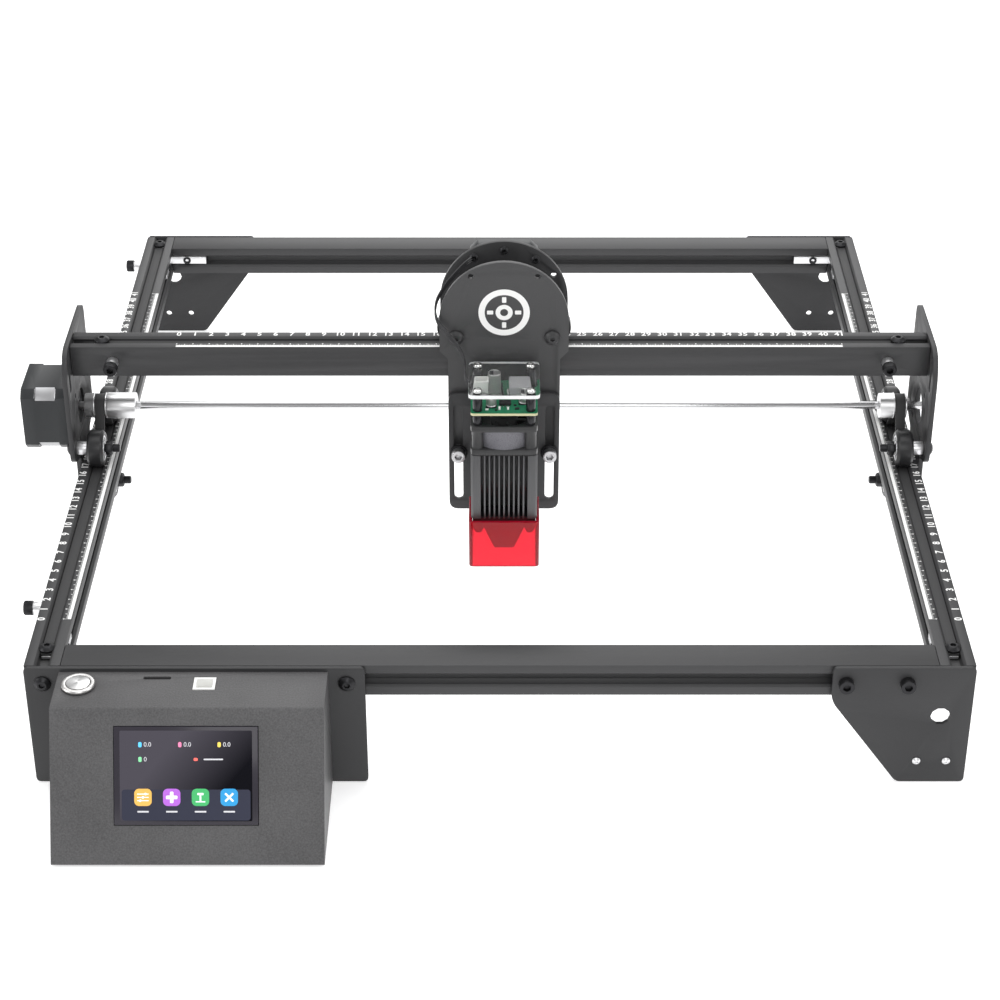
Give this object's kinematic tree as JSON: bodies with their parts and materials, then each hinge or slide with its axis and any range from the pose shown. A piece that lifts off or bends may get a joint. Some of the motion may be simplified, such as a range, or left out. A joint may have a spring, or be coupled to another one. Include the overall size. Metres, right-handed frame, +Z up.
{
  "type": "desktop laser cutter",
  "caption": "Open-frame desktop laser cutter: a gantry on V-wheels and belts carries a height-adjustable laser head with a red shield; a touchscreen control box sits at one front corner.",
  "frame": {"origin": "centre of the whole machine's footprint, on the surface that it stands on", "axes": "+X to the operator's right along the gantry beam, +Y away from the operator along the side rails, +Z up"},
  "size_m": [0.5698, 0.6318, 0.216],
  "materials": {
    "powder_coat": "fine-grained matte black powder coat",
    "black_anodised": "satin black anodised extrusion",
    "belt_rubber": "black fibre-reinforced toothed belt",
    "black_steel": "black oxide steel",
    "nozzle_black": "black anodised",
    "wheel_plastic": "black moulded polymer",
    "fan_plastic": "black moulded plastic",
    "motor_black": "satin black paint with bare steel edges",
    "bright_aluminium": "turned, clear",
    "steel": "bright ground steel",
    "sink_black": "satin black anodised",
    "circuit_board": "green solder mask",
    "screen_glass": "gloss black cover glass over a lit display",
    "clear_acrylic": "clear cast acrylic",
    "red_acrylic": "clear red acrylic",
    "lead_black": "black insulated wires"
  },
  "bodies": {
    "root": {"left_rail": "black_anodised", "right_rail": "black_anodised", "front_crossbar": "black_anodised", "rear_crossbar": "black_anodised", "front_left_leg_plate": "powder_coat", "front_right_leg_plate": "powder_coat", "rear_left_leg_plate": "powder_coat", "rear_right_leg_plate": "powder_coat", "left_belt": "belt_rubber", "right_belt": "belt_rubber", "front_stop_bolt": "black_steel", "rear_stop_bolt": "black_steel", "control_box_shell": "powder_coat", "touchscreen": "screen_glass", "mainboard": "circuit_board", "power_button_ring": "steel"},
    "power_button": {"power_button_cap": "steel"},
    "gantry": {"x_beam": "black_anodised", "left_beam_stop": "black_steel", "right_beam_stop": "black_steel", "x_belt": "belt_rubber", "left_side_plate": "powder_coat", "right_side_plate": "powder_coat", "left_front_axle": "black_steel", "left_rear_axle": "black_steel", "left_lower_axle": "black_steel", "right_front_axle": "black_steel", "right_rear_axle": "black_steel", "right_lower_axle": "black_steel", "left_belt_loop": "belt_rubber", "right_belt_loop": "belt_rubber", "y_motor": "motor_black"},
    "drive": {"left_pulley": "bright_aluminium", "right_pulley": "bright_aluminium", "shaft_coupler": "bright_aluminium", "drive_shaft": "steel"},
    "carriage": {"carriage_front_plate": "powder_coat", "carriage_rear_plate": "powder_coat", "x_motor": "motor_black", "left_clamp_bolt": "steel", "right_clamp_bolt": "steel", "laser_lead": "lead_black"},
    "x_pulley": {"x_pulley": "bright_aluminium"},
    "laser_head": {"laser_bracket": "powder_coat", "heat_sink": "sink_black", "fan_frame": "fan_plastic", "driver_board": "circuit_board", "clear_cover": "clear_acrylic", "laser_nozzle": "nozzle_black", "red_shield": "red_acrylic"},
    "fan_rotor": {"fan_rotor": "fan_plastic"},
    "left_front_wheel": {"left_front_wheel": "wheel_plastic"},
    "left_rear_wheel": {"left_rear_wheel": "wheel_plastic"},
    "left_lower_wheel": {"left_lower_wheel": "wheel_plastic"},
    "right_front_wheel": {"right_front_wheel": "wheel_plastic"},
    "right_rear_wheel": {"right_rear_wheel": "wheel_plastic"},
    "right_lower_wheel": {"right_lower_wheel": "wheel_plastic"},
    "carriage_left_wheel": {"carriage_left_wheel": "wheel_plastic"},
    "carriage_right_wheel": {"carriage_right_wheel": "wheel_plastic"},
    "carriage_lower_wheel": {"carriage_lower_wheel": "wheel_plastic"}
  },
  "joints": [
    {"name": "gantry_slide", "type": "slide", "parent": "root", "child": "gantry", "axis": [0, 1, 0], "range_m": [-0.152, 0.248]},
    {"name": "carriage_slide", "type": "slide", "parent": "gantry", "child": "carriage", "axis": [1, 0, 0], "range_m": [-0.202, 0.197]},
    {"name": "laser_height", "type": "slide", "parent": "carriage", "child": "laser_head", "axis": [0, 0, 1], "range_m": [-0.028, 0.03], "deforming": ["laser_lead"]},
    {"name": "power_button_press", "type": "slide", "parent": "root", "child": "power_button", "axis": [0, 0, 1], "range_m": [-0.002, 0], "stiffness_N_per_m": 400, "springref_m": 0.001},
    {"name": "drive_shaft_spin", "type": "hinge", "parent": "gantry", "child": "drive", "pos_m": [0.0138, 0.00945, 0.1035], "axis": [1, 0, 0], "range_deg": [-1375, 2240]},
    {"name": "left_front_wheel_roll", "type": "hinge", "parent": "gantry", "child": "left_front_wheel", "pos_m": [-0.2387, -0.01855, 0.0885], "axis": [1, 0, 0], "range_deg": [-1345, 825]},
    {"name": "left_rear_wheel_roll", "type": "hinge", "parent": "gantry", "child": "left_rear_wheel", "pos_m": [-0.2387, 0.03745, 0.0885], "axis": [1, 0, 0], "range_deg": [-1345, 825]},
    {"name": "left_lower_wheel_roll", "type": "hinge", "parent": "gantry", "child": "left_lower_wheel", "pos_m": [-0.2387, 0.00945, 0.0485], "axis": [1, 0, 0], "range_deg": [-825, 1345]},
    {"name": "right_front_wheel_roll", "type": "hinge", "parent": "gantry", "child": "right_front_wheel", "pos_m": [0.2663, -0.01855, 0.0885], "axis": [1, 0, 0], "range_deg": [-1345, 825]},
    {"name": "right_rear_wheel_roll", "type": "hinge", "parent": "gantry", "child": "right_rear_wheel", "pos_m": [0.2663, 0.03745, 0.0885], "axis": [1, 0, 0], "range_deg": [-1345, 825]},
    {"name": "right_lower_wheel_roll", "type": "hinge", "parent": "gantry", "child": "right_lower_wheel", "pos_m": [0.2663, 0.00945, 0.0485], "axis": [1, 0, 0], "range_deg": [-825, 1345]},
    {"name": "carriage_left_wheel_roll", "type": "hinge", "parent": "carriage", "child": "carriage_left_wheel", "pos_m": [-0.0132, -0.00055, 0.1655], "axis": [0, 1, 0], "range_deg": [-1100, 1100]},
    {"name": "carriage_right_wheel_roll", "type": "hinge", "parent": "carriage", "child": "carriage_right_wheel", "pos_m": [0.0458, -0.00055, 0.1655], "axis": [0, 1, 0], "range_deg": [-1100, 1100]},
    {"name": "carriage_lower_wheel_roll", "type": "hinge", "parent": "carriage", "child": "carriage_lower_wheel", "pos_m": [0.0163, -0.00055, 0.1255], "axis": [0, 1, 0], "range_deg": [-1100, 1100]},
    {"name": "x_pulley_spin", "type": "hinge", "parent": "carriage", "child": "x_pulley", "pos_m": [0.0163, -0.00055, 0.1765], "axis": [0, 1, 0], "range_deg": [-1825, 1825]},
    {"name": "fan_spin", "type": "hinge", "parent": "laser_head", "child": "fan_rotor", "pos_m": [0.0163, -0.0406, 0.1175], "axis": [0, 0, 1], "continuous": true}
  ],
  "couplings": [
    {"joint": "drive_shaft_spin", "follows": "gantry_slide", "rad_per_m": 157.08},
    {"joint": "left_front_wheel_roll", "follows": "gantry_slide", "rad_per_m": -94.34},
    {"joint": "left_rear_wheel_roll", "follows": "gantry_slide", "rad_per_m": -94.34},
    {"joint": "left_lower_wheel_roll", "follows": "gantry_slide", "rad_per_m": 94.34},
    {"joint": "right_front_wheel_roll", "follows": "gantry_slide", "rad_per_m": -94.34},
    {"joint": "right_rear_wheel_roll", "follows": "gantry_slide", "rad_per_m": -94.34},
    {"joint": "right_lower_wheel_roll", "follows": "gantry_slide", "rad_per_m": 94.34},
    {"joint": "carriage_left_wheel_roll", "follows": "carriage_slide", "rad_per_m": 94.34},
    {"joint": "carriage_right_wheel_roll", "follows": "carriage_slide", "rad_per_m": 94.34},
    {"joint": "carriage_lower_wheel_roll", "follows": "carriage_slide", "rad_per_m": -94.34},
    {"joint": "x_pulley_spin", "follows": "carriage_slide", "rad_per_m": -157.08}
  ]
}
